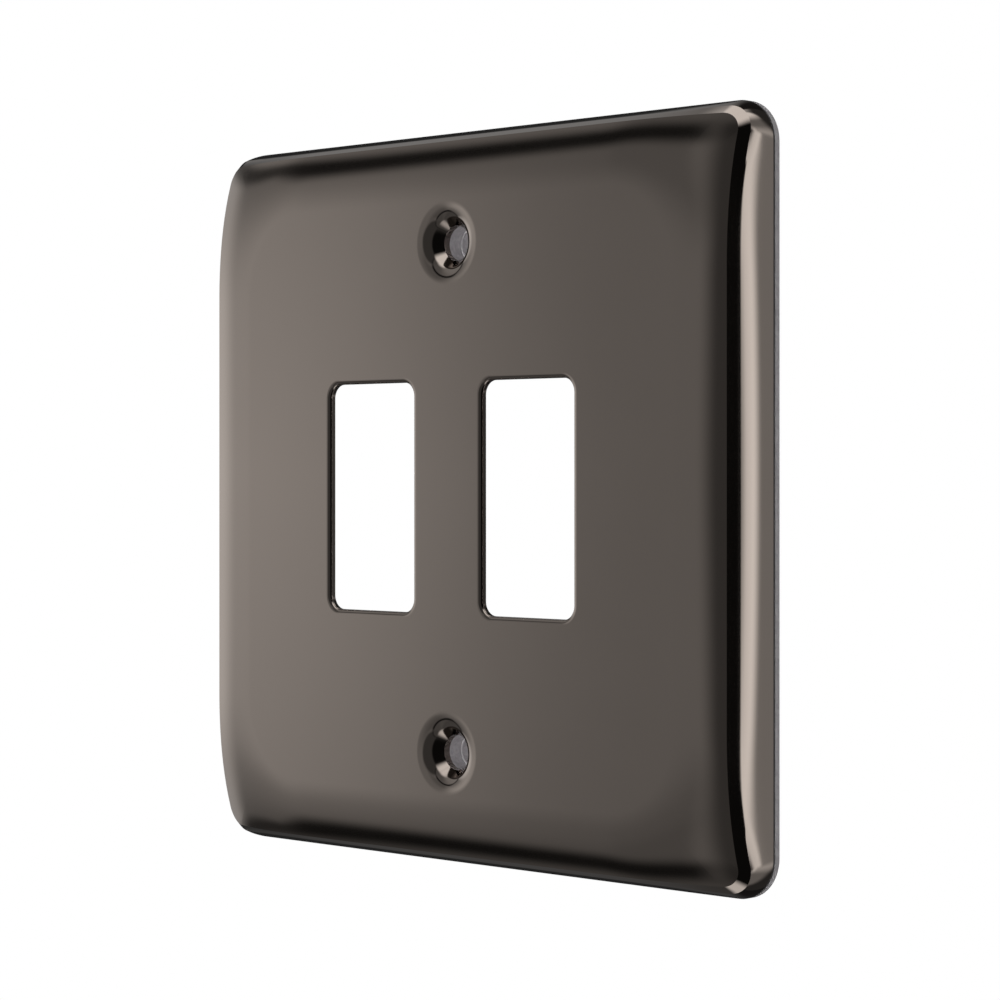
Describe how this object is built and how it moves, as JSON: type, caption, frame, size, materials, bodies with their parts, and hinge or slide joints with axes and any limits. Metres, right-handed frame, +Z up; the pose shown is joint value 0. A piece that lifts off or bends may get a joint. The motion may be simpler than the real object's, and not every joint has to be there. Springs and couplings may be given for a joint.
{
  "type": "grid switch plate",
  "caption": "Square pillowed metal front plate in black nickel with module openings, screw dimples and a clear insulating backing",
  "frame": {"origin": "midway between the two screw holes, in the plane of the flange's back, which lies on the wall", "axes": "X to the right seen from the front, Z up, the face looks towards -Y and the wall is at +Y"},
  "size_m": [0.088, 0.0077, 0.088],
  "materials": {
    "black_nickel": "polished black nickel plating on pressed steel",
    "clear_plastic": "clear moulded plastic, slightly cloudy"
  },
  "bodies": {
    "root": {"front_plate": "black_nickel", "insulating_backing": "clear_plastic"}
  },
  "joints": []
}
